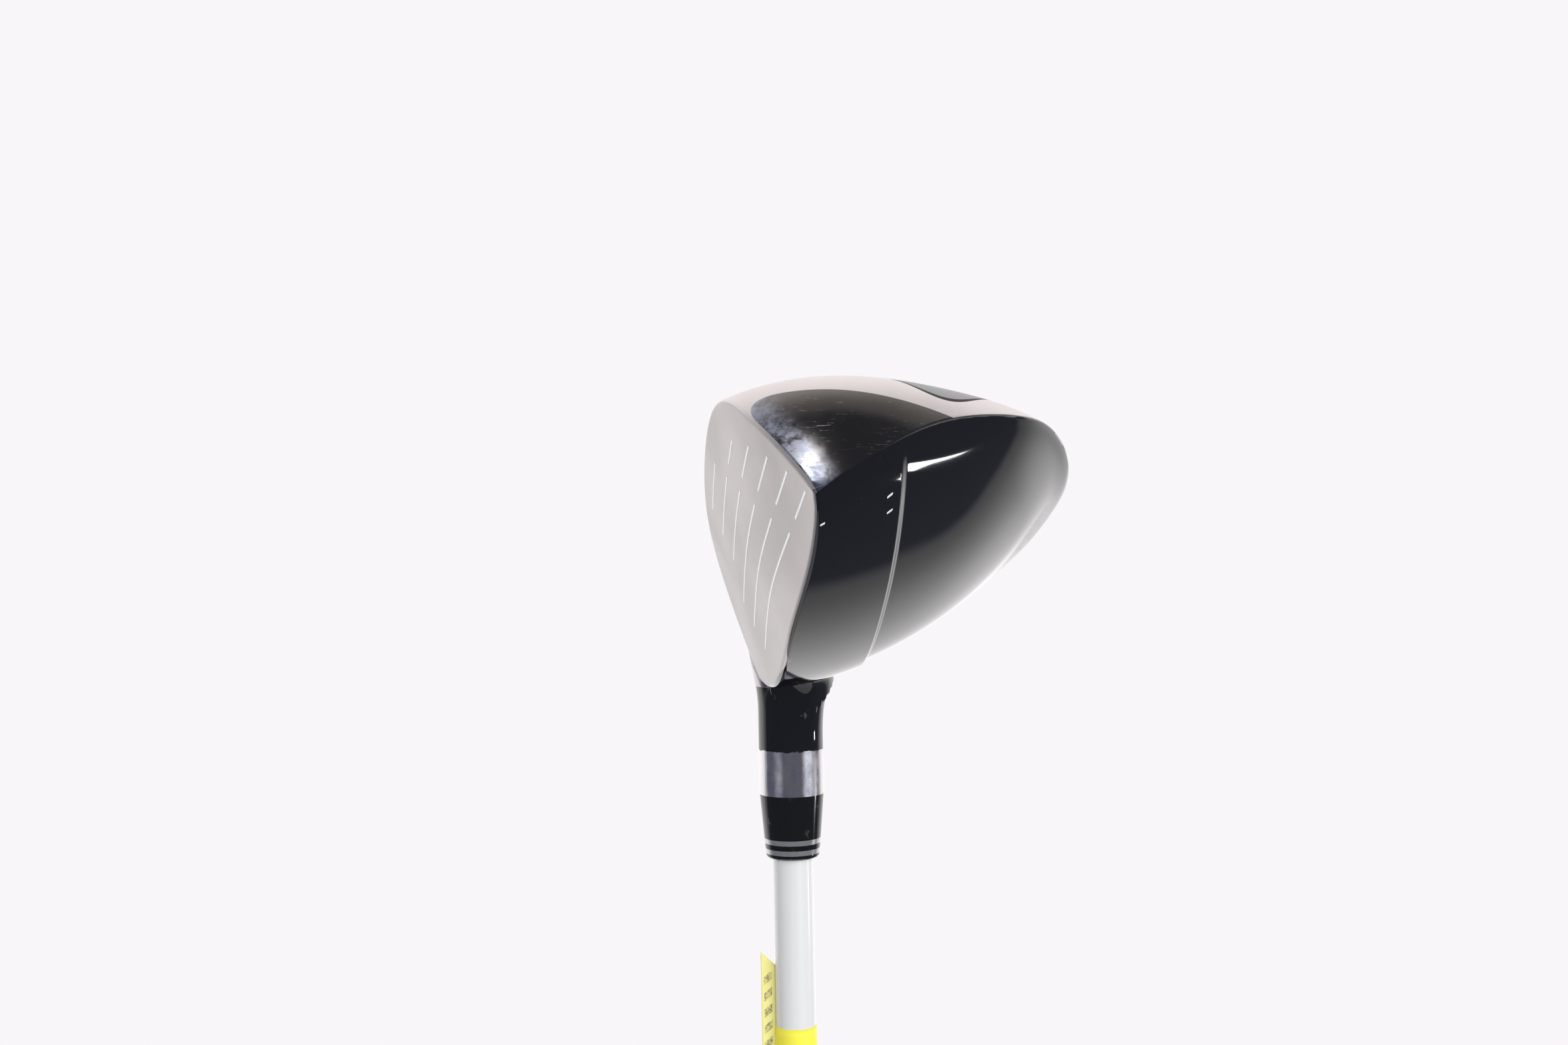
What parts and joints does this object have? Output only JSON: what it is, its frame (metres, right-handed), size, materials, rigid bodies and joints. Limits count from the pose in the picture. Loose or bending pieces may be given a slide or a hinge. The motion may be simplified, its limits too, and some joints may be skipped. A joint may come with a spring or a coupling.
{
  "type": "fairway wood golf club",
  "caption": "Right-handed fairway wood with a hollow metal head, bonded hosel and ferrule, tapered graphite shaft, paper shaft label and rubber grip.",
  "frame": {"origin": "centre of the grip cap's end face, on the shaft axis", "axes": "+Z along the shaft axis from the grip to the head, -X is the way the face looks, the toe leans towards -Y"},
  "size_m": [0.0709, 0.0996, 1.1116],
  "materials": {
    "black_paint": "high gloss",
    "satin_body": "satin",
    "satin_face": "bead-blasted satin",
    "dense_metal": "as cast",
    "hot_melt": "translucent glue",
    "ferrule_black": "polished",
    "ring_silver": "polished",
    "shaft_silver": "lacquered graphite",
    "epoxy": "cured adhesive",
    "tip_brass": "turned",
    "label_paper": "printed",
    "tape_paper": "crepe",
    "grip_rubber": "textured"
  },
  "bodies": {
    "root": {"crown_shell": "black_paint", "head_body": "satin_body", "face_plate": "satin_face", "hosel_neck": "black_paint", "rear_weight": "dense_metal", "hot_melt_pad": "hot_melt", "hosel_plug": "hot_melt", "ferrule_body": "ferrule_black", "ferrule_ring_upper": "ring_silver", "ferrule_spacer": "ferrule_black", "ferrule_ring_lower": "ring_silver", "ferrule_tip": "ferrule_black", "shaft": "shaft_silver", "epoxy_bond": "epoxy", "tip_weight": "tip_brass", "shaft_label": "label_paper", "label_flag": "label_paper", "grip_tape": "tape_paper", "grip_sleeve": "grip_rubber", "grip_cap": "grip_rubber"}
  },
  "joints": []
}
